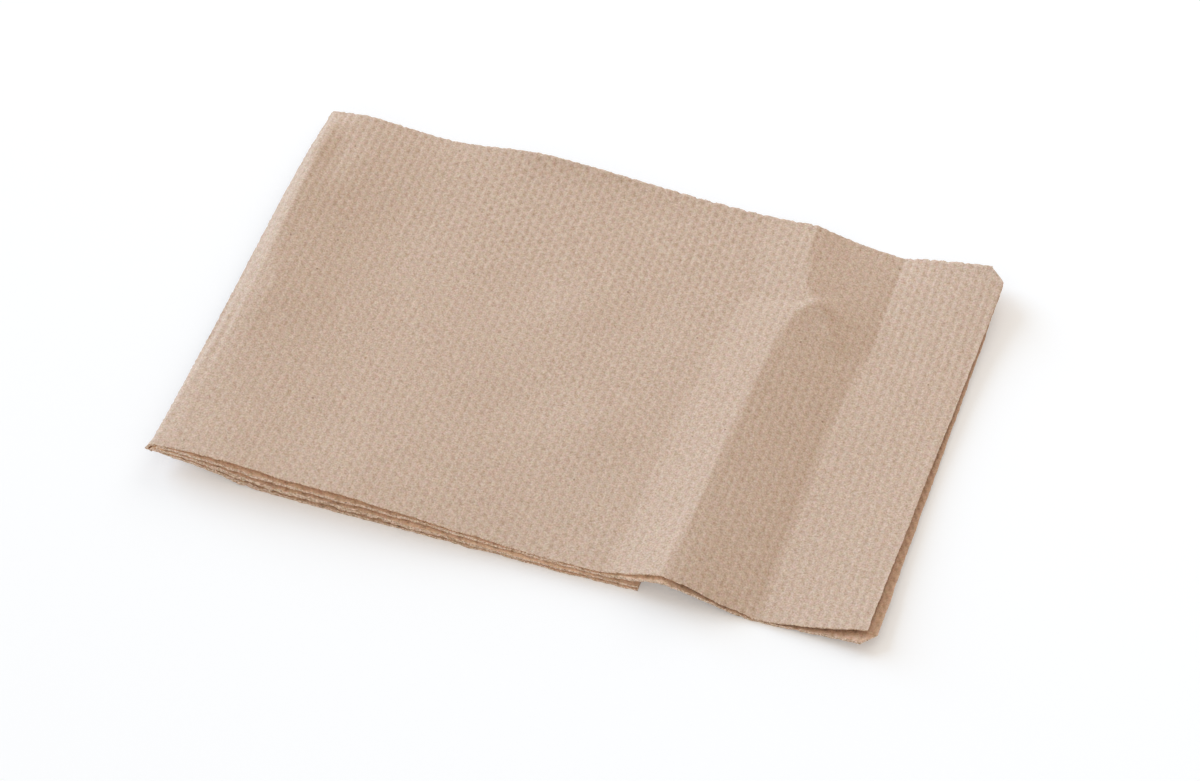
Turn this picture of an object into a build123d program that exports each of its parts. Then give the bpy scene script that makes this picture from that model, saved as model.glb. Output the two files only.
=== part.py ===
from build123d import *
import os
from math import pi, sin

# A folded paper napkin: one sheet of embossed tissue, doubled along its length and then
# folded back across it, so that a long top panel lies on a shorter lower panel.
# Millimetres. The sheet is drawn with x from the crosswise fold at the left, y from the
# lengthwise fold at the back (the front is negative) and z from the table.

# The sheet and its folded size
paper = 0.3                 # thickness of the tissue, embossing included
folded_length = 165.0       # crosswise fold to the cut end of the top panel, in front
folded_width = 108.0        # lengthwise fold to the front edge of the top layer
lower_length = 112.5        # crosswise fold to the cut end of the lower panel
layer_pitch = 0.95          # from one layer to the next where the stack is pressed flat
back_bend = 0.55            # radius of the lengthwise fold of the top panel

# The crosswise fold, an open loop that stands higher in front than at the back
loop_radius_front = 1.5
loop_radius_back = 1.2
loop_height_front = 5.2     # height of the loop's axis at the front edge
loop_height_back = 2.1      # and at the lengthwise fold
loop_skew = 1.6             # how far the loop drifts right towards the back
lift_length = 31.0          # length over which the lower panel comes down to the table
rest_press = 0.03           # how much of the tissue the table presses flat under the lower panel

# The step: the top panel runs over the end of the lower one and down a ramp to the table
ridge_front = 6.3           # height of the ridge crease at the front edge
ridge_back = 4.7
ridge_past_step = 5.9       # ridge crease, to the right of the lower panel's end
ramp_share = 0.43           # of the length past the ridge, down to the valley crease
ramp_sag = 0.8              # hollow of the ramp at the lengthwise fold
ramp_round = 0.6            # how far the front edge of the ramp is rounded at both creases
valley_pitch = 0.65         # from the top to the second layer at the valley crease
rise_length = 13.0          # length over which the top panel climbs to the ridge
crease_skew = 3.0           # how far both creases drift right towards the back

# Waves of the top layer, as heights over the table
crest_front = 7.0           # puffed edge near the crosswise fold
slack_front = 5.9           # where the edge starts to come down to the pressed stack
crest_back = 4.5
dip_back = 3.0
hump_back = 6.6             # the kink in the lengthwise fold
pressed_back = 3.9
puff = 0.65                 # extra gap under the top layer at the ridge
end_lift_front = 2.4        # rise of the second layer at the cut end of the top panel
end_lift_back = 3.9
end_gap = 0.9               # extra gap under the top layer there, at the front

# Cut edges that do not line up
lower_overhang = 0.8        # front edge of the lower panel past that of the top layer
step_overhang = 0.5         # the same at the end of the lower panel
second_overhang = 0.4       # front edge of the second layer, most of it near the loop
ridge_recess = 0.8          # front edge of the top layer drawn back at the ridge
end_recess = 2.6            # the same at the cut end
end_skew = 1.0              # how far the cut end drifts right towards the back
end_shortfall = 2.3         # top layer short of the second one at the front of the cut end
corner_clip = 3.0           # corners missing at the cut end

half = paper / 2
pressed_front = half + 3 * layer_pitch
loop_x = loop_radius_front + half
ridge_x = lower_length + ridge_past_step
valley_x = ridge_x + ramp_share * (folded_length - ridge_x)
flat_x = loop_x + lift_length
slack_x = 0.36 * ridge_x
pressed_x = 0.80 * ridge_x  # from here to the step the stack is pressed flat


def mix(a, b, share):
    return a + (b - a) * share


def ease(share):
    """Smooth step from 0 to 1."""
    return share * share * (3 - 2 * share)


def spread(start, end, count):
    """count places from start to end, both included."""
    return [mix(start, end, i / (count - 1)) for i in range(count)]


def wave(stations, x):
    """Height at x of a curve that levels out at each of its stations."""
    for (x0, z0), (x1, z1) in zip(stations, stations[1:]):
        if x <= x1:
            return mix(z0, z1, ease((x - x0) / (x1 - x0)))
    return stations[-1][1]


def hairpin(x, skew, outer, inner, up, outer_edge, inner_edge):
    """Section of the doubled sheet. outer and inner are the (front, back) heights of its legs,
    up is 1 with the outer leg on top and -1 below, and the edges are each leg's overhang."""
    side = up * half
    bend = abs(outer[1] - inner[1]) / 2
    bend_y = -bend - half
    middle = (outer[1] + inner[1]) / 2
    outer_y = -folded_width - outer_edge
    inner_y = -folded_width - inner_edge

    def at(y, z):
        return (x + skew * (1 + y / folded_width), y, z)

    outside = at(outer_y, outer[0] + side), at(bend_y, outer[1] + side)
    under = at(bend_y, inner[1] - side), at(inner_y, inner[0] - side)
    inside = at(inner_y, inner[0] + side), at(bend_y, inner[1] + side)
    over = at(bend_y, outer[1] - side), at(outer_y, outer[0] - side)
    return Wire([
        Line(*outside),
        ThreePointArc(outside[1], at(bend_y + bend + half, middle), under[0]),
        Line(*under),
        Line(under[1], inside[0]),
        Line(*inside),
        ThreePointArc(inside[1], at(bend_y + bend - half, middle), over[0]),
        Line(*over),
        Line(over[1], outside[0]),
    ])


# Heights of the top layer between the loop and the ridge
front_stations = [
    (loop_x, loop_height_front + loop_radius_front),
    (0.12 * ridge_x, crest_front),
    (slack_x, slack_front),
    (pressed_x, pressed_front),
    (ridge_x, pressed_front),
]
back_stations = [
    (loop_x, loop_height_back + loop_radius_back),
    (0.08 * ridge_x, crest_back),
    (0.25 * ridge_x, dip_back),
    (0.46 * ridge_x, hump_back),
    (pressed_x, pressed_back),
    (ridge_x, pressed_back),
]


def raised(x):
    """How much of the loop's lift the lower panel still has at x."""
    return ease(max(0.0, (flat_x - x) / lift_length))


def bottom_heights(x):
    """Heights (front, back) of the bottom layer."""
    rest = half - rest_press
    loop_front = loop_height_front - loop_radius_front
    loop_back = loop_height_back - loop_radius_back
    return mix(rest, loop_front, raised(x)), mix(rest, loop_back, raised(x))


def fan(x):
    """Pitch of the four layers in front, where they spread evenly."""
    return (wave(front_stations, x) - bottom_heights(x)[0]) / 3


def top_heights(x):
    """Heights (front, back) of the top and second layers between the loop and the ridge."""
    climb = max(0.0, 1 - (ridge_x - x) / rise_length) ** 1.5
    front = wave(front_stations, x) + climb * (ridge_front - pressed_front)
    back = wave(back_stations, x) + climb * (ridge_back - pressed_back)
    near_loop = ease(max(0.0, 1 - (x - loop_x) / (0.1 * ridge_x)))
    gap_front = fan(x) + puff * climb
    gap_back = mix(2 * back_bend, loop_radius_back * 2 / 3, near_loop)
    return (front, back), (front - gap_front, back - gap_back)


def end_heights(x):
    """The same between the valley and the cut end."""
    share = (x - valley_x) / (folded_length - valley_x)
    front = half + end_lift_front * share * share
    back = half + end_lift_back * sin(0.64 * pi * share)
    gap_front = valley_pitch + end_gap * sin(0.5 * pi * share)
    gap_back = mix(valley_pitch, 2 * back_bend, share)
    return (front + gap_front, back + gap_back), (front, back)


def top_section(x):
    """The top panel between the loop and the ridge."""
    share = (x - loop_x) / (ridge_x - loop_x)
    top, second = top_heights(x)
    overhang = second_overhang * sin(pi * min(1.0, 2 * share))
    recess = ridge_recess * ease(max(0.0, 1 - (ridge_x - x) / (2 * rise_length)))
    return hairpin(x, mix(loop_skew, crease_skew, share), top, second, 1, -recess, overhang)


def ramp_section(share):
    """The ramp, from the ridge at share 0 to the valley at share 1."""
    sag = ramp_sag * sin(pi * share)
    front_shares = mix(share, ease(share), ramp_round), share
    top, second = [
        (mix(high[0], low[0], front_share), mix(high[1], low[1], share) - sag)
        for high, low, front_share in zip(top_heights(ridge_x), end_heights(valley_x), front_shares)
    ]
    recess = ridge_recess * (1 - share)
    return hairpin(mix(ridge_x, valley_x, share), crease_skew, top, second, 1, -recess, 0)


def end_section(x):
    """The top panel between the valley and the cut end."""
    share = (x - valley_x) / (folded_length - valley_x)
    top, second = end_heights(x)
    skew = mix(crease_skew, end_skew, share)
    return hairpin(x, skew, top, second, 1, -end_recess * share ** 1.5, 0)


def lower_section(x):
    """The lower panel between the loop and the step."""
    outer = bottom_heights(x)
    pitch_back = mix(layer_pitch, loop_radius_back * 2 / 3, raised(x))
    edge = lower_overhang * (1 - raised(x))
    return hairpin(x, loop_skew, outer, (outer[0] + fan(x), outer[1] + pitch_back), -1, edge, edge)


def between_layers(x, y):
    """A point midway between the top and second layers near the cut end."""
    top, second = end_heights(min(x, folded_length))
    front = (top[0] + second[0]) / 2
    back = (top[1] + second[1]) / 2
    return (x, y, mix(back, front, -y / folded_width))


def strip(sections):
    """A length of the doubled sheet through its sections."""
    return Solid.make_loft(sections, ruled=True)


def prism(points, height):
    """Upright prism on a triangle."""
    return extrude(make_face(Polyline(points, close=True)), amount=height, dir=(0, 0, 1))


# The top panel, from the cut end to the loop
right_panel = strip([end_section(x) for x in spread(valley_x, folded_length, 7)])
ramp = strip([ramp_section(share) for share in spread(0, 1, 5)])
left_panel = strip([top_section(x) for x in spread(loop_x, ridge_x, 21)])

# The loop of the crosswise fold
loop_start = top_section(loop_x)
loop_axis = Axis((loop_x, -folded_width, loop_height_front),
                 (loop_skew, folded_width, loop_height_back - loop_height_front))
loop_sections = [loop_start.rotate(loop_axis, -angle) for angle in spread(0, 180, 10)]
loop = strip(loop_sections)

# The lower panel, from the loop down to the table and along it
coming_down = [lower_section(x) for x in spread(loop_x, pressed_x, 12)]
lowering = strip([loop_sections[-1]] + coming_down[1:])
flat = extrude(Face(lower_section(pressed_x)), amount=lower_length - pressed_x, dir=(1, 0, 0))

# Its front edge tapers back towards the step
margin = 2.0
flat -= prism([
    (pressed_x, -folded_width - lower_overhang, -margin),
    (lower_length, -folded_width - lower_overhang - margin, -margin),
    (lower_length + margin, -folded_width - step_overhang, -margin),
], 2 * margin)

napkin = right_panel + ramp + left_panel + loop + lowering + flat

# The table presses the underside flat
napkin = split(napkin, Plane.XY, keep=Keep.TOP)

# The top layer stops short at the front of the cut end
napkin -= prism([
    between_layers(folded_length + margin, -folded_width - margin),
    between_layers(folded_length - end_shortfall, -folded_width - margin),
    between_layers(folded_length + margin, -0.1 * folded_width),
], crest_front)

# Both corners of the cut end are missing
front_corner = folded_length, -folded_width, 1
back_corner = folded_length + end_skew, 0, -1
for corner_x, corner_y, inward in (front_corner, back_corner):
    napkin -= prism([
        (corner_x - corner_clip - margin, corner_y - inward * margin, -margin),
        (corner_x + margin, corner_y - inward * margin, -margin),
        (corner_x + margin, corner_y + inward * (corner_clip + margin), -margin),
    ], 2 * crest_front)

# Laid on the table, centred on its outline
box = napkin.bounding_box()
napkin = Pos(-box.center().X, -box.center().Y, -box.min.Z) * napkin
napkin.label = "napkin"
os.makedirs("parts", exist_ok=True)
export_step(napkin, "parts/napkin.step")
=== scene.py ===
import math

import bpy
import numpy as np
from mathutils import Matrix, Vector


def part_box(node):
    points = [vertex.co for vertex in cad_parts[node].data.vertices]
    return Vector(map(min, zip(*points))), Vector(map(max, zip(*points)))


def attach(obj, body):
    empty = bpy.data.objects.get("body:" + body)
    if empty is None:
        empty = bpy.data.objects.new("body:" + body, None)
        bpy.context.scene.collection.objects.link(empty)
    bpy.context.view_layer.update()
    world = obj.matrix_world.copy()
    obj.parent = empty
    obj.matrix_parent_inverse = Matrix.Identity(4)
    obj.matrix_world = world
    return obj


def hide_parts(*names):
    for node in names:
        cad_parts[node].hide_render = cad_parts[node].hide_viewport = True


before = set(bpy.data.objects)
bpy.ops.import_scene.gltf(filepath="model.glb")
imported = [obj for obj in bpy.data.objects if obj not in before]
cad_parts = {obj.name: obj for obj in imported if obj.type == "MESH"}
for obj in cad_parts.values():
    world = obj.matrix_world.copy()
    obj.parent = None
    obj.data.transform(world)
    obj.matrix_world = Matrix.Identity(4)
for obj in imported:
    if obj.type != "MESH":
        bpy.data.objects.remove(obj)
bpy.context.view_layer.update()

# A folded paper napkin: one sheet of embossed tissue, doubled along its length and then folded
# back across it. Sizes in millimetres: x from the crosswise fold at the left, y from the
# lengthwise fold at the back (the front is negative), z from the table

# The sheet and its folded size
paper = 0.3
half = paper / 2
folded_length = 165.0
folded_width = 108.0
lower_length = 112.5        # crosswise fold to the cut end of the lower panel
layer_pitch = 0.95          # from one layer to the next where the stack is pressed flat
layer_gap = 0.42            # least pitch of the upper layers
back_bend = 0.55            # radius of the lengthwise fold

# The crosswise fold, an open loop that stands higher in front than at the back
loop_radius_front = 1.5
loop_radius_back = 1.2
loop_inner_share = 1 / 3    # radius of the loop's inner leg, as a share of the outer one's
loop_gap_back = loop_radius_back * 2 / 3  # pitch of the layers at the back of the loop
loop_height_front = 5.2     # height of the loop's axis
loop_height_middle = 4.3
loop_height_back = 2.1
loop_skew = 1.6             # how far the loop drifts right towards the back
loop_x = loop_radius_front + half
lift_length = 31.0          # length over which the lower panel comes down to the table
flat_x = loop_x + lift_length

# The ramp on which the top panel goes down to the table, from its ridge to its valley crease
ridge_x = 118.4
ridge_front = 6.3           # height of the ridge
ridge_back = 4.7
rise_length = 13.0          # length over which the top panel climbs to the ridge
rise_power = 1.2
puff = 0.65                 # extra gap under the top layer at the ridge
valley_x = 138.4
valley_pitch = 0.65         # from the top to the second layer at the valley
ramp_start = 0.95           # slope at the ridge, as a share of the mean slope
ramp_start_front = 0.7
ramp_sag = 0.8              # hollow of the ramp at the lengthwise fold
ramp_round = 0.6            # how far the ramp's front edge is rounded at both creases
ramp_round_reach = 4.0      # how far in from the edge the rounding fades
step_reach = 2.0            # how far past the lower panel's end it still holds the top panel up

# Heights of the top layer along the front edge, the middle and the fold at the back
crest_front = 7.0
slack_front = 5.9
pressed_front = half + 3 * layer_pitch
hollow_middle = 3.5
pressed_middle = 3.4
crest_back = 4.5
dip_back = 3.0
hump_back = 5.4
pressed_back = 3.9
hump_bow = 1.0              # how far the hump bows out past the straight line of the fold
bow_reach = 30.0            # how far in from the fold the bow fades

# Where these heights are reached
crest_x = 0.12 * ridge_x
slack_x = 0.36 * ridge_x
pressed_x = 0.80 * ridge_x
hollow_x = 0.30 * ridge_x
level_x = 0.50 * ridge_x
crest_back_x = 0.08 * ridge_x
dip_x = 0.25 * ridge_x
hump_x = 0.46 * ridge_x
bow_end_x = 0.95 * ridge_x
loop_blend = 0.1 * ridge_x  # length over which the gap at the back changes from the loop's

# How sharply the top panel bends up from its middle to the front edge and to the fold
front_power = 3
back_power = 6
back_power_left = 20        # left of the pressed stretch

# The cut end of the top panel
end_lift_front = 2.4        # rise of the second layer from the valley to the cut end
end_lift_middle = 0.5
end_lift_back = 5.3
end_power_front = 1.2
end_power_back = 0.75
end_gap = 0.9               # extra gap under the top layer, at the front
end_skew = 1.0              # how far the cut end drifts right towards the back
end_bow = 0.35              # hollow of the cut end
end_shortfall = 2.3         # top layer short of the second one at the front
shortfall_fade = 1.1        # how quickly that fades across the width
corner_clip = 3.0           # front corner missing from the second layer
back_clip = 4.2             # back corner missing
end_run = 14.0              # length over which the panel takes up the shifts of its two ends

# Front edges that do not line up
lower_overhang = 0.65       # lower panel past the top layer
step_overhang = 0.2         # the same at the end of the lower panel
second_overhang = 0.4       # second layer, most of it near the loop
ridge_recess = 0.8          # top layer drawn back at the ridge
end_recess = 2.6            # and at the cut end
end_recess_power = 1.5
edge_run = 8.0              # how far in from the edge its shifts fade
edge_flutter = 0.12         # slow waves up and down of the top panel's edges
edge_flutter_lower = 0.1
flutter_run = 9.0
flutter_from_loop = 25.0
flutter_from_ridge = 10.0

# The creases on both sides of the ramp, as (y, x) from front to back
ridge_line = [(-108, 117.4), (-88, 118.9), (-56, 120.4), (-40, 121.6), (-33, 122.2), (-27, 123.9),
              (-23.3, 126.6), (-20.5, 124.8), (-17, 123.4), (-10, 121.8), (0, 121.0)]
valley_line = [(-108, 139.2), (-56, 139.3), (-44, 140.0), (-34.4, 141.0), (-31.5, 142.0),
               (0, 142.3)]

# The crest beside the loop, as (y, x), how strongly it shows, as (y, share), its height and
# how far it reaches to the left and to the right
crest_line = [(-108, 9), (-88, 9), (-72, 8.5), (-56, 9.5), (-48, 6.5), (-40, 5.0), (0, 4.6)]
crest_share = [(-108, 0), (-92, 0), (-76, 0.35), (-60, 1), (-14, 1), (-2, 0)]
crest_rise = 1.1
crest_left = 9.0
crest_right = 17.0
crest_power = 1.5

# The flat bevel along the loop: its inner edge, slope and width, how far it pushes the loop out,
# and how strongly it shows, as (y, share)
bevel_x = 4.8
bevel_slope = 0.62
bevel_width = 3.6
bevel_bulge = 0.6
bevel_share = [(-108, 0.2), (-86, 0.35), (-74, 1), (-24, 1), (-15, 0.45), (-4, 0.3)]

# A slanting crease across the ramp: its ends as (x, y), its height and reach, and the shares of
# its length over which it starts and runs out
slant_start = (127.3, -21.8)
slant_end = (136.5, -35.2)
slant_rise = 0.8
slant_reach = 3.0
slant_in = 0.2
slant_out = 0.5

# Soft dents and bumps of the top panel: x, y, reach in x, reach in y, height
dents = [
    (0, -26, 10, 14, 0.6),
    (28, -32, 10, 13, -0.4),
    (8.8, -14, 3.8, 7.5, -0.9),
    (1, -74, 7, 17, -0.4),
    (5.5, -66, 3.5, 12, 0.2),
    (14, -100, 8, 7, 0.3),
    (42, -100, 9, 7, 0.35),
    (70, -72, 9, 9, -0.4),
    (91, -72, 8, 8, 0.5),
    (77, -40, 7, 7, 0.3),
    (61, -40, 8, 8, -0.25),
    (92, -38, 6, 7, -0.25),
    (152, -66, 9, 10, -0.2),
    (122, -96, 5.5, 11, 0.3),
]
dents_from_fold = 4.0       # distance from the lengthwise fold where creases and dents are full

# Slow waves of the paper: height, runs and leans, and how far from its borders they are full
wave_height = 0.1
wave_run_x = 13.0
wave_run_y = 17.0
wave_lean_x = 0.35
wave_lean_y = 0.2
wave_from_loop = 12.0
wave_from_end = 8.0
wave_from_fold = 8.0

# Embossed dots
dot_pitch_x = 2.0
dot_pitch_y = 2.56
dot_depth = 0.2
dot_reach_x = 0.45
dot_reach_y = 0.85
dot_slant = 0.32

# The dots run together into lines near both ends: x where that starts, run to its full, reach added
dot_lines = [(52, -36, 0.9), (138, 6, 0.8)]

# They are deeper and shorter near the lengthwise fold
far_start = 0.4 * folded_width
far_run = 0.25 * folded_width
far_shorter = 0.2
dot_strength = 0.85
dot_strength_far = 1.6

# They are patchy
patch_swing = 0.3
patch_run_x = 9.0
patch_run_y = 11.0

# They are weaker on the back of the ramp, and weaker step by step towards the loop: x where a step
# starts, its run and the strength to the left of it
ramp_dots = 0.65
ramp_dots_left = 122
ramp_dots_right = 142
ramp_dots_front = -48
ramp_fade_x = 3
ramp_fade_y = 16
loop_dots = [(3, 5, 0.5), (30, 20, 0.75)]

# Ragged edges: size of the slow and the quick wander of a cut edge, and the run of each
ragged_slow = 0.16
ragged_quick = 0.15
slow_run = 5.0
quick_run = 0.9
ragged_end = 0.5            # share of the wander at the cut end
ragged_loop = 2.0           # and in the loop
loop_run = 2.0              # millimetres of the loop's edge for each radian
tip_reach = 1.0             # frayed tip at the front of the loop, how it fades and drifts left
tip_fade = 1.5
tip_left = 0.6

# Fluff along the front edges, as a share of half the paper, how far in it reaches, and how
# uneven it is in slow tufts and in fine grain
fuzz_top = 0.5
fuzz_second = 1.5
fuzz_lower = 3.1
fuzz_reach = 1.0
fuzz_swing = 0.25
fuzz_run = 2.2
fuzz_grain = 4

# Roughness of the folds, and how many cells before a fold it starts
fold_roughness = 0.07
rough_cells = 3

# Seeds of the random curves: of the outer and the inner leg, or of a curve in x and one in y
top_seeds = 10, 20
loop_seeds = 60, 50
lower_seeds = 30, 40
wave_seeds = 1, 2
patch_seeds = 3, 4
fuzz_seed = 70
rough_seed = 7
end_seed_step = 2
flutter_seed_step = 4

# Constants of the sine that stands in for random numbers
whirl_step = 12.9898
whirl_seed = 78.233
whirl_size = 43758.5453
whirl_start = 50            # the count at place 0

# Mesh cells, fine on the visible face of the top layer
fine_x = 0.5
fine_y = 0.512
coarse_step_x = 8
coarse_step_y = 10
bend_steps = 8
loop_steps = 12
sharp_angle = 55

# Where the hidden cells are finer: along x at both creases, and in y at the ridge's kink
crease_bands = [(115, 130), (136, 144)]
kink_band = (-30, -14)
kink_step = 2


def mix(a, b, share):
    return a + (b - a) * share


def ease(share):
    """Smooth step from 0 to 1."""
    share = np.clip(share, 0.0, 1.0)
    return share * share * (3 - 2 * share)


def wave(stations, x):
    """Height at x of a curve that levels out at each of its stations."""
    places, heights = np.array(stations, float).T
    i = np.clip(np.searchsorted(places, x) - 1, 0, len(places) - 2)
    share = (x - places[i]) / (places[i + 1] - places[i])
    return mix(heights[i], heights[i + 1], ease(share))


def wobble(x, length, seed):
    """Smooth random curve of about -1 to 1 that turns about once every length."""
    place = np.asarray(x) / length + whirl_start
    i = np.floor(place).astype(int)

    def knot(number):
        whirl = np.sin(number * whirl_step + np.asarray(seed) * whirl_seed) * whirl_size
        return 2 * (whirl - np.floor(whirl)) - 1

    return mix(knot(i), knot(i + 1), ease(place - i))


def ragged(x, seed):
    """Wander of a cut edge along its run."""
    return ragged_slow * wobble(x, slow_run, seed) + ragged_quick * wobble(x, quick_run, seed + 1)


def line_at(line, y):
    """x, or another value, at y of a line given by points."""
    places, values = np.array(line, float).T
    return np.interp(y, places, values)


def across(front, middle, back, share, power=back_power):
    """Height between the front edge, the middle and the fold at the back."""
    near_front = (1 - share) ** front_power
    near_back = np.maximum(share, 0) ** power
    return front * near_front + back * near_back + middle * (1 - near_front - near_back)


def near_edge(y):
    """1 at the front edge, fading to 0 inwards."""
    return ease(1 - (y + folded_width) / edge_run)


# Heights of the layers, along the front edge, the middle and the fold at the back

front_stations = [
    (loop_x, loop_height_front + loop_radius_front),
    (crest_x, crest_front),
    (slack_x, slack_front),
    (pressed_x, pressed_front),
    (ridge_x, pressed_front),
]
middle_stations = [
    (loop_x, loop_height_middle + (loop_radius_front + loop_radius_back) / 2),
    (hollow_x, hollow_middle),
    (level_x, pressed_middle),
    (ridge_x, pressed_middle),
]
back_stations = [
    (loop_x, loop_height_back + loop_radius_back),
    (crest_back_x, crest_back),
    (dip_x, dip_back),
    (hump_x, hump_back),
    (pressed_x, pressed_back),
    (ridge_x, pressed_back),
]

# How far the fold at the back bows out
bow_stations = [
    (dip_x, 0),
    (hump_x, hump_bow),
    (bow_end_x, 0),
]


def loop_radius(share):
    return mix(loop_radius_front, loop_radius_back, share)


def loop_height(share):
    return across(loop_height_front, loop_height_middle, loop_height_back, share)


def raised(x):
    """How much of the loop's lift the lower panel still has at x."""
    return ease((flat_x - x) / lift_length)


def bottom_height(x, share):
    """Height of the bottom layer."""
    return mix(half, loop_height(share) - loop_radius(share), raised(x))


def fan(x):
    """Pitch of the four layers in front, where they spread evenly."""
    return (wave(front_stations, x) - bottom_height(x, 0.0)) / 3


def third_height(x, share):
    """Height of the layer above the bottom one."""
    pitch_back = mix(layer_pitch, loop_gap_back, raised(x))
    return bottom_height(x, share) + mix(fan(x), pitch_back, share)


def left_heights(x):
    """Heights of the top layer in front, middle and back, its gaps to the second in front and
    at the back, and the extra height of its front edge, left of the ridge."""
    climb = np.clip(1 - (ridge_x - x) / rise_length, 0, 1) ** rise_power
    ridge_middle = (ridge_front + ridge_back) / 2
    front = wave(front_stations, x) + climb * (ridge_front - pressed_front)
    middle = wave(middle_stations, x) + climb * (ridge_middle - pressed_middle)
    back = wave(back_stations, x) + climb * (ridge_back - pressed_back)
    near_loop = ease(1 - (x - loop_x) / loop_blend)
    gap_front = fan(x) + puff * climb
    gap_back = mix(2 * back_bend, loop_gap_back, near_loop)
    return np.array([front, middle, back, gap_front, gap_back, 0 * x])


def right_heights(x):
    """The same right of the valley."""
    share = np.clip((x - valley_x) / (folded_length - valley_x), 0, 1)
    gap_front = valley_pitch + end_gap * np.sin(0.5 * math.pi * share)
    gap_back = mix(valley_pitch, 2 * back_bend, share)
    front = half + end_lift_front * share ** end_power_front + gap_front
    middle = half + end_lift_middle * share + (gap_front + gap_back) / 2
    back = half + end_lift_back * share ** end_power_back + gap_back
    return np.array([front, middle, back, gap_front, gap_back, 0 * x])


def ramp_heights(x):
    """The same on the ramp, which steepens towards the valley and has a rounder front edge."""
    share = np.clip((x - ridge_x) / (valley_x - ridge_x), 0, 1)
    high = left_heights(np.full_like(x, ridge_x))
    low = right_heights(np.full_like(x, valley_x))
    heights = mix(high, low, mix(share * share, share, ramp_start))
    heights[0] = mix(high[0], low[0], mix(share * share, share, ramp_start_front))
    heights[2] -= ramp_sag * np.sin(math.pi * share)
    heights[5] = mix(high[0], low[0], mix(share, ease(share), ramp_round)) - heights[0]
    return heights


def straightened(x, y):
    """x as it would be if the loop, creases and cut end ran square across the panel."""
    share = 1 + y / folded_width
    loop = loop_x + loop_skew * share
    ridge = line_at(ridge_line, y)
    valley = line_at(valley_line, y)
    end = folded_length + end_skew * share
    left = mix(loop_x, ridge_x, (x - loop) / (ridge - loop))
    ramp = mix(ridge_x, valley_x, (x - ridge) / (valley - ridge))
    right = mix(valley_x, folded_length, (x - valley) / (end - valley))
    return np.where(x < ridge, left, np.where(x < valley, ramp, right))


def panel_heights(x, y):
    """Heights of the top and second layers of the top panel."""
    along = straightened(x, y)
    parts = np.where(along < ridge_x, left_heights(along),
                     np.where(along < valley_x, ramp_heights(along), right_heights(along)))
    front, middle, back, gap_front, gap_back, edge = parts
    share = 1 + y / folded_width
    gap = mix(gap_front, gap_back, share)
    edge = edge * np.exp(-np.maximum(0, folded_width + y) / ramp_round_reach)
    power = mix(back_power_left, back_power, ease((along - pressed_x) / (ridge_x - pressed_x)))
    second = across(front, middle, back, share, power) + edge - gap + undulation(x, y)
    on_lower = x < lower_length + step_reach
    lowest = np.where(on_lower, third_height(x, share) + layer_gap, half)
    second = np.maximum(second, lowest)
    return second + np.maximum(gap, layer_gap), second


def fold_crest(x, y):
    """The crest beside the loop, creased along its top."""
    off = x - line_at(crest_line, y)
    left = np.maximum(0, 1 + off / crest_left)
    right = np.maximum(0, 1 - off / crest_right) ** crest_power
    return crest_rise * line_at(crest_share, y) * np.where(off < 0, left, right)


def fold_bevel(x, y):
    """How far the bevel falls away towards the loop."""
    return bevel_slope * line_at(bevel_share, y) * np.clip(x - bevel_x, -bevel_width, 0)


def slant_crease(x, y):
    """The crease that slants across the ramp."""
    run = np.subtract(slant_end, slant_start)
    length = np.hypot(*run)
    from_x = x - slant_start[0]
    from_y = y - slant_start[1]
    along = (from_x * run[0] + from_y * run[1]) / length ** 2
    off = (from_x * run[1] - from_y * run[0]) / length
    height = slant_rise * np.exp(-np.abs(off) / slant_reach)
    return height * ease(along / slant_in + 0.5) * ease((1 - along) / slant_out)


def slow_waves(x, y):
    """Slow waves of the paper, away from its borders."""
    inside = ease((x - loop_x) / wave_from_loop) * ease((folded_length - x) / wave_from_end)
    inside = inside * ease(-y / wave_from_fold)
    slow = (wobble(x + wave_lean_x * y, wave_run_x, wave_seeds[0])
            * wobble(y - wave_lean_y * x, wave_run_y, wave_seeds[1]))
    return wave_height * slow * inside


def undulation(x, y):
    """Creases, soft dents, bumps and slow waves of the paper."""
    height = fold_crest(x, y) + fold_bevel(x, y) + slant_crease(x, y)
    for dent_x, dent_y, reach_x, reach_y, rise in dents:
        height += rise * np.exp(-((x - dent_x) / reach_x) ** 2 - ((y - dent_y) / reach_y) ** 2)
    return height * ease(-y / dents_from_fold) + slow_waves(x, y)


def near_fold(y):
    """0 in front, rising to 1 towards the lengthwise fold."""
    return ease((far_start + y) / far_run)


def emboss_strength(x, y):
    """How deep the dots are at a place of the sheet, as a share of their depth."""
    patches = wobble(x, patch_run_x, patch_seeds[0]) * wobble(y, patch_run_y, patch_seeds[1])
    strength = mix(dot_strength, dot_strength_far, near_fold(y)) * (1 + patch_swing * patches)
    on_ramp = ease((x - ramp_dots_left) / ramp_fade_x) * ease((ramp_dots_right - x) / ramp_fade_x)
    on_ramp = on_ramp * ease((y - ramp_dots_front) / ramp_fade_y)
    strength = strength * (1 - ramp_dots * on_ramp)
    for start, run, least in loop_dots:
        strength = strength * mix(least, 1, ease((x - start) / run))
    return strength


def emboss(x, y):
    """Relief of the embossed dots at a place of the sheet."""
    column = np.round(x / dot_pitch_x)
    row = y - (column % 2) * dot_pitch_y / 2
    off_y = row - np.round(row / dot_pitch_y) * dot_pitch_y
    off_x = x - column * dot_pitch_x + dot_slant * off_y
    in_line = sum(added * ease((x - start) / run) for start, run, added in dot_lines)
    reach_y = dot_reach_y * (1 + in_line) * (1 - far_shorter * near_fold(y))
    dots = np.exp(-(off_x / dot_reach_x) ** 2 - (off_y / reach_y) ** 2)
    return -dot_depth * emboss_strength(x, y) * dots


# The sheet's middle surface as a grid: u runs from the cut end round the loop to the end of
# the lower panel, v from the front edge of the outer leg round the bend to that of the inner leg

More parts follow.
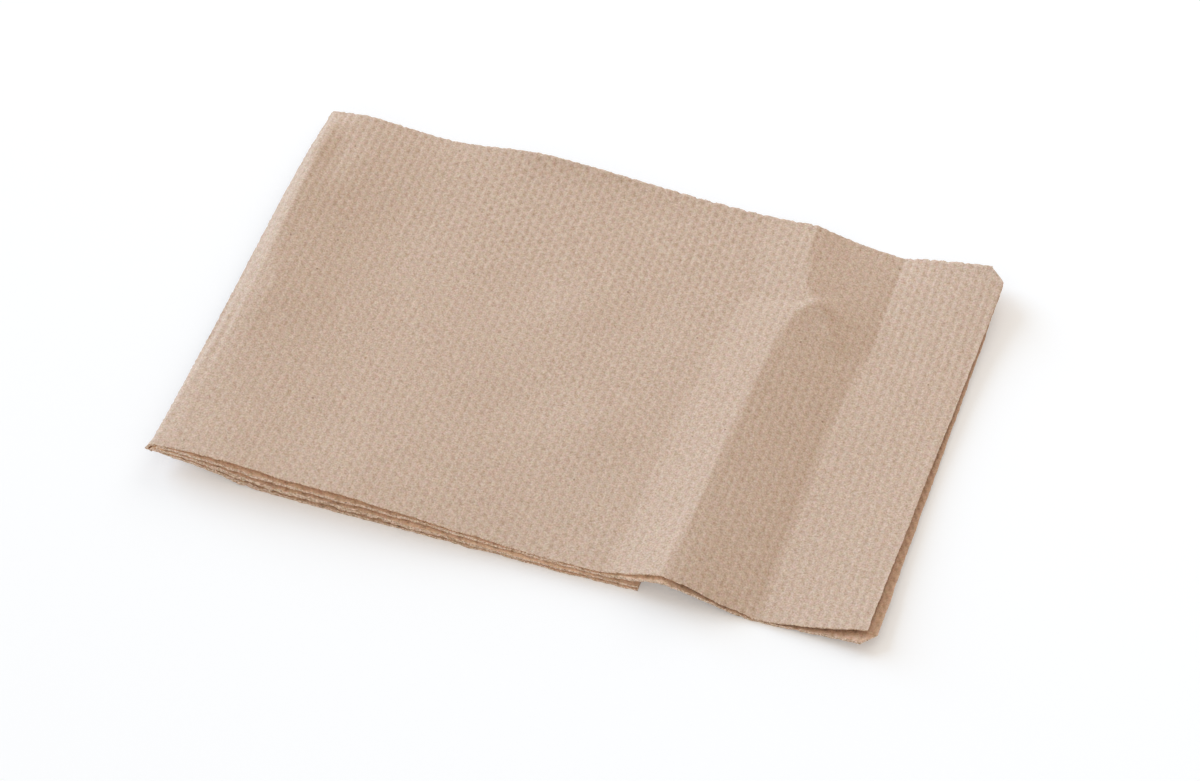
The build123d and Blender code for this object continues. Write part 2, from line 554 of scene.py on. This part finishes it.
def spread(start, end, step):
    """Places from start to end, about a step apart."""
    count = int(round(abs(end - start) / step))
    return np.linspace(start, end, count + 1)


top_u = spread(folded_length, loop_x, fine_x)
loop_u = np.linspace(0, math.pi, loop_steps + 1)[1:-1]
lower_u = spread(loop_x, lower_length, fine_x)
leg_v = spread(-folded_width, -back_bend - half, fine_y)
bend_v = np.linspace(0, math.pi, bend_steps + 1)[1:-1]


def top_recess(x):
    """How far the top layer's front edge is drawn back."""
    before = ease(1 - (ridge_x - x) / (2 * rise_length))
    ramp = np.clip(1 - (x - ridge_x) / (valley_x - ridge_x), 0, 1)
    end = np.clip((x - valley_x) / (folded_length - valley_x), 0, 1)
    return ridge_recess * np.where(x < ridge_x, before, ramp) + end_recess * end ** end_recess_power


def top_overhang(x, inner):
    """How far the front edge of the top layer, or of the second one, reaches out."""
    if not inner:
        return -top_recess(x)
    share = np.clip((x - loop_x) / (ridge_x - loop_x), 0, 1)
    return second_overhang * np.sin(math.pi * np.minimum(1, 2 * share))


def end_shift(y, inner):
    """How far the cut end of the top layer, or of the second one, is moved to the right."""
    share = 1 + y / folded_width
    clip = np.maximum(0, back_clip + y) + np.maximum(0, corner_clip - (y + folded_width)) * inner
    short = end_shortfall * np.clip(1 - shortfall_fade * share, 0, 1) * (1 - inner)
    bow = end_bow * np.sin(math.pi * np.clip(share, 0, 1))
    wander = ragged_end * ragged(y, top_seeds[inner] + end_seed_step)
    return end_skew * share - clip - short - bow + wander


def top_leg(inner):
    """Points of the top layer, or of the second one, as [u, v, xyz]."""
    x, y = np.meshgrid(top_u, leg_v, indexing="ij")
    seed = top_seeds[inner]
    edge = near_edge(y)
    y = y - (top_overhang(x, inner) + ragged(x, seed)) * edge
    fold_bow = wave(bow_stations, np.clip(x, dip_x, bow_end_x))
    near_loop = ease(1 - (x - loop_x) / end_run)
    near_end = ease(1 - (folded_length - x) / end_run)
    x = x + near_loop * loop_skew * (1 + y / folded_width) + near_end * end_shift(y, inner)
    z = panel_heights(x, y)[inner]
    y = y + fold_bow * ease(1 + y / bow_reach)
    flutter = edge_flutter * wobble(x, flutter_run, seed + flutter_seed_step) * edge
    z = z + flutter * ease(x / flutter_from_loop) * ease((ridge_x - x) / flutter_from_ridge)
    return np.stack([x, y, z], -1)


def loop_leg(inner):
    """Points of the loop on its outer or inner leg."""
    turn, y = np.meshgrid(loop_u, leg_v, indexing="ij")
    share = 1 + y / folded_width
    radius = loop_radius(share) * (loop_inner_share if inner else 1.0)
    bulge = bevel_bulge * line_at(bevel_share, y) * (1 - inner)
    x = loop_x + loop_skew * share - (radius + bulge) * np.sin(turn)
    z = loop_height(share) + radius * np.cos(turn) + undulation(x, y) * np.cos(turn / 2) ** 2
    tip = tip_reach * np.sin(turn) ** 2 * np.exp(-np.maximum(0, y + folded_width) / tip_fade)
    wander = ragged_loop * ragged(turn * loop_run, loop_seeds[inner])
    y = y - (tip + wander) * near_edge(y)
    return np.stack([x - tip_left * tip, y, z], -1)


def lower_leg(inner):
    """Points of the bottom layer, or of the third one."""
    x, y = np.meshgrid(lower_u, leg_v, indexing="ij")
    seed = lower_seeds[inner]
    edge = near_edge(y)
    past = np.clip((x - pressed_x) / (lower_length - pressed_x), 0, 1)
    overhang = mix(lower_overhang, step_overhang, past) * (1 - raised(x))
    y = y - (overhang + ragged(x, seed)) * edge
    share = 1 + y / folded_width
    if inner:
        flutter = edge_flutter_lower * wobble(x, flutter_run, seed + flutter_seed_step) * edge
        z = third_height(x, share) + flutter
    else:
        z = bottom_height(x, share)
    return np.stack([x + loop_skew * share, y, z], -1)


def with_bend(outer, inner):
    """Both legs joined by the half-round bend at the back."""
    start = outer[:, -1]
    end = inner[:, -1]
    centre = (start + end) / 2
    arm = (start - end) / 2
    reach = np.linalg.norm(arm, axis=-1, keepdims=True) * np.array([0, 1, 0])
    bend = [centre + arm * math.cos(turn) + reach * math.sin(turn) for turn in bend_v]
    return np.concatenate([outer, np.stack(bend, 1), inner[:, ::-1]], 1)


def smoothed(points):
    """Creases eased over one cell along u."""
    soft = points.copy()
    soft[1:-1] = (points[:-2] + 2 * points[1:-1] + points[2:]) / 4
    return soft


outer_leg = np.concatenate([top_leg(0), loop_leg(0), lower_leg(0)])
inner_leg = np.concatenate([top_leg(1), loop_leg(1), lower_leg(1)])
middle = smoothed(with_bend(outer_leg, inner_leg))

run_u = np.gradient(middle, axis=0)
run_v = np.gradient(middle, axis=1)
normal = np.cross(run_v, run_u)
normal /= np.linalg.norm(normal, axis=-1, keepdims=True)

count_u, count_v = middle.shape[:2]
last_top = len(top_u) - 1
last_loop = last_top + loop_steps
last_leg = len(leg_v) - 1
last_bend = last_leg + bend_steps

# Place of each grid point on the sheet laid flat, for the embossing
sheet_x = middle[..., 0].copy()
sheet_y = middle[..., 1].copy()
sheet_x[last_top + 1:last_loop] = sheet_x[last_top] - loop_radius_front * loop_u[:, None]
sheet_y[:, last_leg + 1:last_bend] = sheet_y[:, [last_leg]] + back_bend * bend_v
relief = np.zeros((count_u, count_v))
relief[:last_loop, :last_bend] = emboss(sheet_x, sheet_y)[:last_loop, :last_bend]

# Folds are a little rough
rough = np.random.default_rng(rough_seed).normal(0, fold_roughness, (count_u, count_v))
place_u, place_v = np.meshgrid(np.arange(count_u), np.arange(count_v), indexing="ij")
on_loop = (place_u > last_top - rough_cells) & (place_u < last_loop)
on_bend = (place_v > last_leg - rough_cells) & (place_v < last_bend) & (place_u < last_loop)
relief += rough * (on_loop | on_bend)

# The tissue fluffs up along its front edges, on the lower panel most where the layers spread
from_edge = np.minimum(place_v, count_v - 1 - place_v) * fine_y
second_leg = place_v > last_leg
on_top = place_u <= last_top
wide = np.clip(fan(np.clip(middle[..., 0], loop_x, ridge_x)) / fan(np.array(slack_x)), 0, 1)
fuzz = np.where(on_top, np.where(second_leg, fuzz_second, fuzz_top), fuzz_lower * wide ** 2)
tufts = wobble(place_u * fine_x, fuzz_run, fuzz_seed + second_leg)
uneven = 1 + fuzz_swing * tufts + fuzz_grain * rough
fluff = half * fuzz * uneven * np.exp(-from_edge / fuzz_reach)
outside = middle + normal * (half + relief + fluff * ~(on_top & ~second_leg))[..., None]
inside = middle - normal * (half + fluff)[..., None]
outside[..., 2] = np.maximum(outside[..., 2], 0)

# Cells: fine ones where the outer side shows, coarse ones elsewhere, joined along shared vertices

along_creases = [i for i, x in enumerate(top_u)
                 if any(start < x < end for start, end in crease_bands)]
across_kink = [j for j, y in enumerate(leg_v) if kink_band[0] < y < kink_band[1]][::kink_step]
lines_u = sorted({*range(0, last_top, coarse_step_x), *along_creases, *range(last_top, last_loop),
                  *range(last_loop, count_u, coarse_step_x), count_u - 1})
lines_v = sorted({*range(0, last_leg, coarse_step_y), *range(last_leg, last_bend),
                  *range(last_bend, count_v, coarse_step_y), count_v - 1,
                  *across_kink, *[count_v - 1 - j for j in across_kink]})
outer_side = 0
inner_side = 1


def is_fine(i, j):
    """Whether the outer side's cell from line i, j on is a fine one."""
    return i < last_loop and j < last_bend


vertex_of = {}
vertices = []


def vertex(side, i, j):
    """Number of the vertex on a side of the sheet, added when first asked for."""
    key = (side, i, j)
    if key not in vertex_of:
        vertex_of[key] = len(vertices)
        vertices.append((outside if side == outer_side else inside)[i, j])
    return vertex_of[key]


faces = []
for i in range(last_loop):
    for j in range(last_bend):
        corners = (i, j), (i, j + 1), (i + 1, j + 1), (i + 1, j)
        faces.append([vertex(outer_side, *corner) for corner in corners])
fine_count = len(faces)


def rim(places):
    """Faces along an open edge of the sheet, between its two sides."""
    for start, end in zip(places, places[1:]):
        faces.append([vertex(outer_side, *start), vertex(outer_side, *end),
                      vertex(inner_side, *end), vertex(inner_side, *start)])


rim([(i, 0) for i in range(count_u)])
rim([(count_u - 1, j) for j in range(count_v)])
rim([(i, count_v - 1) for i in reversed(range(count_u))])
rim([(0, j) for j in reversed(range(count_v))])
rim_end = len(faces)


def border(i0, i1, j0, j1):
    """Grid places round a coarse cell."""
    places = [(i0, j) for j in range(j0, j1)]
    places += [(i, j1) for i in range(i0, i1)]
    places += [(i1, j) for j in range(j1, j0, -1)]
    places += [(i, j0) for i in range(i1, i0, -1)]
    return places


def coarse_face(side, i0, i1, j0, j1):
    """A coarse cell with its corners and every vertex that a neighbour has put on its border."""
    corners = {(i0, j0), (i0, j1), (i1, j0), (i1, j1)}
    ring = [vertex(side, i, j) for i, j in border(i0, i1, j0, j1)
            if (i, j) in corners or (side, i, j) in vertex_of]
    faces.append(ring if side == outer_side else ring[::-1])


for side in (outer_side, inner_side):
    for i0, i1 in zip(lines_u, lines_u[1:]):
        for j0, j1 in zip(lines_v, lines_v[1:]):
            if side == inner_side or not is_fine(i0, j0):
                coarse_face(side, i0, i1, j0, j1)

# From the sheet's own corner to the row frame, in metres
low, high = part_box("napkin")
origin = np.array([low[0] * 1000, high[1] * 1000, low[2] * 1000])
coordinates = (np.array(vertices) + origin) / 1000

mesh = bpy.data.meshes.new("napkin_sheet")
mesh.from_pydata(coordinates.tolist(), [], faces)
mesh.update()
mesh.shade_smooth()
mesh.set_sharp_from_angle(angle=math.radians(sharp_angle))
napkin = bpy.data.objects.new("napkin_sheet", mesh)
bpy.context.scene.collection.objects.link(napkin)


# Brown tissue: mottled colour, painted shade in the dots, specks and fibres

class Nodes:
    """Short calls for building the node tree of a material or of the world."""

    def __init__(self, owner):
        owner.use_nodes = True
        self.tree = owner.node_tree
        self.shader = self.tree.nodes.get("Principled BSDF")

    def add(self, kind, inputs, **settings):
        """A node with its settings, and its inputs by name or number set or linked."""
        node = self.tree.nodes.new(kind)
        for key, value in settings.items():
            setattr(node, key, value)
        for key, value in inputs.items():
            if isinstance(value, bpy.types.NodeSocket):
                self.tree.links.new(value, node.inputs[key])
            else:
                node.inputs[key].default_value = value
        return node

    def math(self, operation, a, b=0.0):
        return self.add("ShaderNodeMath", {0: a, 1: b}, operation=operation).outputs[0]

    def noise(self, place, scale, detail=2.0, roughness=0.5, output="Fac"):
        inputs = {"Vector": place, "Scale": scale, "Detail": detail, "Roughness": roughness}
        return self.add("ShaderNodeTexNoise", inputs).outputs[output]

    def scaled(self, vector, factor, offset):
        inputs = {0: vector, 1: factor, 2: offset}
        return self.add("ShaderNodeVectorMath", inputs, operation="MULTIPLY_ADD").outputs[0]

    def between(self, value, low, high, to_low=0.0, to_high=1.0):
        inputs = {"Value": value, 1: low, 2: high, 3: to_low, 4: to_high}
        return self.add("ShaderNodeMapRange", inputs).outputs[0]

    def swing(self, value, size):
        """A value of 0 to 1 turned into one that swings round 0."""
        return self.between(value, 0.0, 1.0, -size / 2, size / 2)

    def mix(self, share, a, b, blend="MIX"):
        node = self.add("ShaderNodeMix", {0: share, 6: a, 7: b}, data_type="RGBA", blend_type=blend)
        return node.outputs[2]

    def link(self, socket, name):
        self.tree.links.new(socket, self.shader.inputs[name])

    def set(self, name, value):
        self.shader.inputs[name].default_value = value


# Colours of the outer side, of the inner side near the front edges (a painted glow of light coming
# through the sheet) and past the ridge (painted warm shade), of the cut edges and of the specks
brown = (0.602, 0.449, 0.346, 1)
# painted glow: light coming through the sheet, painted into the inner side near the front edges
painted_glow = (0.95, 0.70, 0.52, 1)
# painted shade: the warm shade under the top layer's cut end, painted into the inner side
painted_shade_brown = (0.64, 0.425, 0.295, 1)
frayed = (0.74, 0.56, 0.435, 1)
speck_brown = (0.24, 0.14, 0.1, 1)

# Where the inner side's painted glow and painted shade set in: y towards the front edges, x towards
# the cut end
painted_glow_start = -98.0
painted_glow_full = -105.0
painted_shade_start = 118.0
painted_shade_full = 122.0

# Noise of the paper as (scale per millimetre, detail, roughness), and how far it swings
tint_noise = (1.1, 4.0, 0.65)
tint_swing = 0.28
grain_noise = (2.4, 2.0, 0.7)
grain_swing_outer = 1.3
grain_swing_inner = 1.1
grain_swing_edge = 3.2
cloud_noise = (0.5, 3.0, 0.6)
cloud_swing = 0.14
fibre_noise = (2.2, 4.0, 0.7)
fibre_height = 0.10

# Painted shade darkens the paper in the dots round their mean level, and what is darker is warmer
dot_painted_shade = 0.12
dot_level = 0.2
dark_is_warm = (0.8, 1.0, 1.23)

# Specks: how many per millimetre, their inner and outer radius as shares of their spacing, and
# their strength
speck_scale = 0.16
speck_inner = 0.02
speck_outer = 0.05
speck_strength = 0.75

bump_distance = 0.001
tissue_roughness = 0.92
tissue_gloss = 0.12


def sheet_place(nodes):
    """Place on the sheet in millimetres, as the embossing counts it."""
    place = nodes.add("ShaderNodeTexCoord", {}).outputs["Object"]
    inputs = {"Vector": place, "Location": tuple(-origin), "Scale": (1000, 1000, 1000)}
    return nodes.add("ShaderNodeMapping", inputs).outputs[0]


def dot_pattern(nodes, place):
    """The embossed dots as a mask, from 0 between them to 1 in their middles."""

    def off_nearest(value, pitch):
        whole = nodes.math("ROUND", nodes.math("DIVIDE", value, pitch))
        return nodes.math("SUBTRACT", value, nodes.math("MULTIPLY", whole, pitch)), whole

    def square(value, reach):
        share = nodes.math("ABSOLUTE", nodes.math("DIVIDE", value, reach))
        return nodes.math("POWER", share, 2.0)

    axes = nodes.add("ShaderNodeSeparateXYZ", {0: place}).outputs
    off_x, column = off_nearest(axes[0], dot_pitch_x)
    odd = nodes.math("ABSOLUTE", nodes.math("MODULO", column, 2.0))
    row = nodes.math("SUBTRACT", axes[1], nodes.math("MULTIPLY", odd, dot_pitch_y / 2))
    off_y, _ = off_nearest(row, dot_pitch_y)
    off_x = nodes.math("ADD", off_x, nodes.math("MULTIPLY", off_y, dot_slant))
    spread_out = nodes.math("ADD", square(off_x, dot_reach_x), square(off_y, dot_reach_y))
    return nodes.math("EXPONENT", nodes.math("MULTIPLY", spread_out, -1.0))


def painted_through_light(nodes, place):
    """Brown with painted light: a painted glow, warmer near the open edges of the folded stack
    where light comes through it, and painted warm shade past the ridge, where the top layer shades
    the second."""
    axes = nodes.add("ShaderNodeSeparateXYZ", {0: place}).outputs
    # painted glow: lighter, warmer brown towards the front edges
    near_front = nodes.between(axes[1], painted_glow_start, painted_glow_full)
    colour = nodes.mix(near_front, brown, painted_glow)
    # painted shade: warmer brown past the ridge, where the top layer shades the second
    near_end = nodes.between(axes[0], painted_shade_start, painted_shade_full)
    return nodes.mix(near_end, colour, painted_shade_brown)


def mottled(nodes, place, dots, colour, grain_swing):
    """A colour with a mottled tint, fine grain, soft clouds and painted shade in the dots."""
    tint = nodes.noise(place, *tint_noise, "Color")
    tint = nodes.scaled(tint, (tint_swing,) * 3, (1 - tint_swing / 2,) * 3)
    colour = nodes.mix(1.0, colour, tint, "MULTIPLY")
    grain = nodes.swing(nodes.noise(place, *grain_noise), grain_swing)
    cloud = nodes.swing(nodes.noise(place, *cloud_noise), cloud_swing)
    # painted shade in the embossed pits
    painted_dot_shade = nodes.math("MULTIPLY", nodes.math("SUBTRACT", dots, dot_level), dot_painted_shade)
    light = nodes.math("SUBTRACT", nodes.math("ADD", grain, cloud), painted_dot_shade)
    light = nodes.add("ShaderNodeCombineXYZ", {0: light, 1: light, 2: light}).outputs[0]
    light = nodes.scaled(light, dark_is_warm, (1.0, 1.0, 1.0))
    return nodes.mix(1.0, colour, light, "MULTIPLY")


def specked(nodes, place, colour):
    """A colour with a few dark specks."""
    specks = nodes.add("ShaderNodeTexVoronoi", {"Vector": place, "Scale": speck_scale})
    distance = specks.outputs["Distance"]
    spot = nodes.between(distance, speck_inner, speck_outer, speck_strength, 0.0)
    return nodes.mix(spot, colour, speck_brown)


def tissue(name, side, grain_swing):
    """The paper on its outer side, its inner side or its edges. The inner side has no embossed
    dots in the mesh, so it has them as bump."""
    material = bpy.data.materials.new(name)
    nodes = Nodes(material)
    place = sheet_place(nodes)
    dots = dot_pattern(nodes, place)
    base = {"outer": brown, "edge": frayed}.get(side) or painted_through_light(nodes, place)
    colour = mottled(nodes, place, dots, base, grain_swing)
    nodes.link(specked(nodes, place, colour), "Base Color")

    height = nodes.math("MULTIPLY", nodes.noise(place, *fibre_noise), fibre_height)
    if side == "inner":
        height = nodes.math("SUBTRACT", height, nodes.math("MULTIPLY", dots, dot_depth))
    inputs = {"Height": height, "Distance": bump_distance, "Strength": 1.0}
    nodes.link(nodes.add("ShaderNodeBump", inputs).outputs[0], "Normal")
    nodes.set("Roughness", tissue_roughness)
    nodes.set("Specular IOR Level", tissue_gloss)
    return material


mesh.materials.append(tissue("brown_tissue", "outer", grain_swing_outer))
# the inner side carries the painted glow and the painted shade
mesh.materials.append(tissue("brown_tissue_inner_painted_light", "inner", grain_swing_inner))
mesh.materials.append(tissue("brown_tissue_edge", "edge", grain_swing_edge))
outer_slot, inner_slot, edge_slot = range(3)
slots = np.full(len(faces), inner_slot, dtype=np.int32)
slots[:fine_count] = outer_slot
slots[fine_count:rim_end] = edge_slot
mesh.polygons.foreach_set("material_index", slots)

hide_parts("napkin")
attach(napkin, "root")


# Floor, light and camera, in metres

white = (1, 1, 1, 1)
floor_size = 6
floor_drop = 0.00003        # keeps the floor just under the napkin
floor_grey = (0.8, 0.8, 0.8, 1)
floor_roughness = 0.95
floor_glow = 0.22           # white of the floor's own, for rays from the camera


def camera_rays(nodes):
    """1 for rays from the camera, also by way of a shiny or a clear surface, and 0 for others."""
    rays = nodes.add("ShaderNodeLightPath", {}).outputs
    by_way = nodes.math("MAXIMUM", rays["Is Glossy Ray"], rays["Is Transmission Ray"])
    return nodes.math("MAXIMUM", rays["Is Camera Ray"], by_way)


def floor():
    """A white floor that keeps the shadow: part of its white is its own for the camera."""
    bpy.ops.mesh.primitive_plane_add(size=floor_size, location=(0, 0, low[2] - floor_drop))
    plane = bpy.context.object
    plane.name = "floor"
    material = bpy.data.materials.new("white_floor")
    nodes = Nodes(material)
    nodes.set("Base Color", floor_grey)
    nodes.set("Roughness", floor_roughness)
    nodes.set("Emission Color", white)
    nodes.link(nodes.math("MULTIPLY", camera_rays(nodes), floor_glow), "Emission Strength")
    plane.data.materials.append(material)


def aimed_light(name, kind, direction, strength, colour):
    """A light that shines on the napkin from a direction."""
    data = bpy.data.lights.new(name, kind)
    data.energy = strength
    data.color = colour
    light = bpy.data.objects.new(name, data)
    light.rotation_euler = Vector(direction).to_track_quat("Z", "Y").to_euler()
    bpy.context.scene.collection.objects.link(light)
    return light


def far_light(name, direction, softness, strength, colour):
    light = aimed_light(name, "SUN", direction, strength, colour)
    light.data.angle = math.radians(softness)


def soft_light(name, direction, distance, size, strength, colour):
    way = Vector(direction).normalized()
    light = aimed_light(name, "AREA", way, strength, colour)
    light.data.shape = "DISK"
    light.data.size = size
    light.location = way * distance


def surroundings(colour, strength):
    """Even light from all round, behind which the backdrop is seen as plain white."""
    world = bpy.data.worlds.new("studio")
    nodes = Nodes(world)
    light = nodes.tree.nodes["Background"]
    light.inputs["Color"].default_value = (*colour, 1)
    light.inputs["Strength"].default_value = strength
    backdrop = nodes.add("ShaderNodeBackground", {"Color": white})
    shaders = {0: camera_rays(nodes), 1: light.outputs[0], 2: backdrop.outputs[0]}
    both = nodes.add("ShaderNodeMixShader", shaders)
    nodes.tree.links.new(both.outputs[0], nodes.tree.nodes["World Output"].inputs["Surface"])
    bpy.context.scene.world = world


def camera():
    """The photograph's view."""
    azimuth = math.radians(18.24)
    elevation = math.radians(51.24)
    distance = 0.8893
    target = Vector((0.00462, -0.00395, 0))
    level = math.cos(elevation)
    back = Vector((math.sin(azimuth) * level, -math.cos(azimuth) * level, math.sin(elevation)))
    right = Vector((math.cos(azimuth), math.sin(azimuth), 0))
    up = back.cross(right)
    data = bpy.data.cameras.new("camera")
    data.lens = 119.49
    data.sensor_width = 36
    data.clip_start = 0.01
    view = bpy.data.objects.new("camera", data)
    turn = Matrix((right, up, back)).transposed().to_4x4()
    view.matrix_world = Matrix.Translation(target + back * distance) @ turn
    bpy.context.scene.collection.objects.link(view)
    bpy.context.scene.camera = view


floor()
far_light("window", direction=(-0.80, 0.32, 0.36), softness=40,
          strength=2.75, colour=(0.57, 0.77, 1.0))
soft_light("back", direction=(0.1, 0.8, 0.55), distance=0.7, size=0.5,
           strength=0.9, colour=(1.0, 1.0, 1.0))
surroundings(colour=(1.0, 0.915, 0.82), strength=0.68)
camera()
bpy.context.scene.view_settings.view_transform = "Standard"
